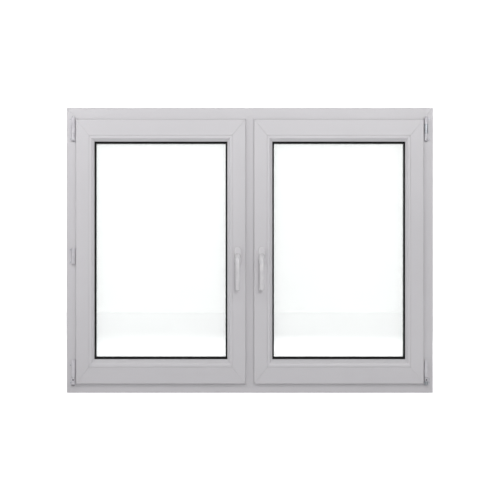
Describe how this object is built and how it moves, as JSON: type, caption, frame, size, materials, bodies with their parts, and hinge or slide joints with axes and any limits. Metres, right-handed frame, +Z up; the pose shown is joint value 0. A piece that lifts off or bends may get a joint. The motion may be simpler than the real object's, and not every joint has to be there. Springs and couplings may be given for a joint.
{
  "type": "casement window",
  "caption": "White uPVC casement window with a fixed mullion, a turning sash on the left and a tilt-and-turn sash on the right, seen closed from the room side.",
  "frame": {"origin": "centre of the frame's flat bottom face, halfway through the frame's depth", "axes": "+X to the right seen from the room, +Y out to the weather side, +Z up"},
  "size_m": [1.465, 0.1411, 1.14],
  "materials": {
    "frame_upvc": "smooth extruded white uPVC, semi-gloss",
    "sash_upvc": "smooth extruded white uPVC, semi-gloss",
    "bead_upvc": "smooth extruded white uPVC, semi-gloss",
    "epdm_seal": "extruded black EPDM, matt",
    "float_glass": "clear float glass",
    "spacer_bar": "roll-formed aluminium spacer",
    "handle_coating": "white powder coat on die-cast zinc",
    "hinge_coating": "white powder coat on steel and die-cast zinc",
    "zinc_steel": "zinc-plated steel"
  },
  "bodies": {
    "frame": {"frame_sill": "frame_upvc", "frame_head": "frame_upvc", "frame_jamb_left": "frame_upvc", "frame_jamb_right": "frame_upvc", "mullion": "frame_upvc", "frame_seal_left": "epdm_seal", "frame_seal_right": "epdm_seal", "left_top_hinge_bracket": "hinge_coating", "left_top_hinge_pin": "zinc_steel", "left_middle_hinge_bracket": "hinge_coating", "left_bottom_hinge_bracket": "hinge_coating", "left_striker": "zinc_steel", "right_top_hinge_bracket": "hinge_coating", "right_top_hinge_pin": "zinc_steel", "right_bottom_hinge_bracket": "hinge_coating", "right_striker": "zinc_steel"},
    "left_sash": {"left_sash_top_rail": "sash_upvc", "left_sash_bottom_rail": "sash_upvc", "left_sash_hinge_stile": "sash_upvc", "left_sash_lock_stile": "sash_upvc", "left_inner_pane": "float_glass", "left_outer_pane": "float_glass", "left_glass_spacer": "spacer_bar", "left_bead_bottom": "bead_upvc", "left_bead_right": "bead_upvc", "left_bead_top": "bead_upvc", "left_bead_left": "bead_upvc", "left_glazing_gasket": "epdm_seal", "left_sash_seal": "epdm_seal", "left_handle_rosette": "handle_coating", "left_gearbox": "zinc_steel", "left_lock_faceplate": "zinc_steel", "left_bottom_hinge_strap": "hinge_coating", "left_top_hinge_leaf": "hinge_coating", "left_middle_hinge_leaf": "hinge_coating"},
    "left_handle": {"left_handle_lever": "handle_coating", "left_handle_spindle": "zinc_steel"},
    "left_rod": {"left_drive_rod": "zinc_steel"},
    "right_pivot": {"right_pivot_block": "zinc_steel"},
    "right_sash": {"right_sash_top_rail": "sash_upvc", "right_sash_bottom_rail": "sash_upvc", "right_sash_hinge_stile": "sash_upvc", "right_sash_lock_stile": "sash_upvc", "right_inner_pane": "float_glass", "right_outer_pane": "float_glass", "right_glass_spacer": "spacer_bar", "right_bead_bottom": "bead_upvc", "right_bead_right": "bead_upvc", "right_bead_top": "bead_upvc", "right_bead_left": "bead_upvc", "right_glazing_gasket": "epdm_seal", "right_sash_seal": "epdm_seal", "right_handle_rosette": "handle_coating", "right_gearbox": "zinc_steel", "right_lock_faceplate": "zinc_steel", "right_bottom_hinge_strap": "hinge_coating"},
    "right_handle": {"right_handle_lever": "handle_coating", "right_handle_spindle": "zinc_steel"},
    "right_rod": {"right_drive_rod": "zinc_steel"},
    "right_stay": {"right_stay_arm": "zinc_steel"}
  },
  "joints": [
    {"name": "left_sash_turn", "type": "hinge", "parent": "frame", "child": "left_sash", "pos_m": [-0.705, -0.046, 0.036], "axis": [0, 0, -1], "range_deg": [0, 90]},
    {"name": "left_handle_turn", "type": "hinge", "parent": "left_sash", "child": "left_handle", "pos_m": [-0.048, -0.0593, 0.547], "axis": [0, 1, 0], "range_deg": [0, 90]},
    {"name": "left_rod_slide", "type": "slide", "parent": "left_sash", "child": "left_rod", "axis": [0, 0, 1], "range_m": [0, 0.018]},
    {"name": "right_sash_turn", "type": "hinge", "parent": "frame", "child": "right_pivot", "pos_m": [0.705, -0.046, 0.039], "axis": [0, 0, 1], "range_deg": [0, 90]},
    {"name": "right_sash_tilt", "type": "hinge", "parent": "right_pivot", "child": "right_sash", "pos_m": [0.705, -0.046, 0.039], "axis": [1, 0, 0], "range_deg": [0, 8.5]},
    {"name": "right_stay_swing", "type": "hinge", "parent": "right_pivot", "child": "right_stay", "pos_m": [0.705, -0.046, 1.072], "axis": [0, 0, 1], "range_deg": [0, 25.5]},
    {"name": "right_handle_turn", "type": "hinge", "parent": "right_sash", "child": "right_handle", "pos_m": [0.048, -0.0593, 0.547], "axis": [0, -1, 0], "range_deg": [0, 180]},
    {"name": "right_rod_slide", "type": "slide", "parent": "right_sash", "child": "right_rod", "axis": [0, 0, 1], "range_m": [0, 0.036]}
  ],
  "couplings": [
    {"joint": "left_rod_slide", "follows": "left_handle_turn", "m_per_rad": 0.011459},
    {"joint": "right_rod_slide", "follows": "right_handle_turn", "m_per_rad": 0.011459},
    {"joint": "right_stay_swing", "follows": "right_sash_tilt", "ratio": 3}
  ]
}
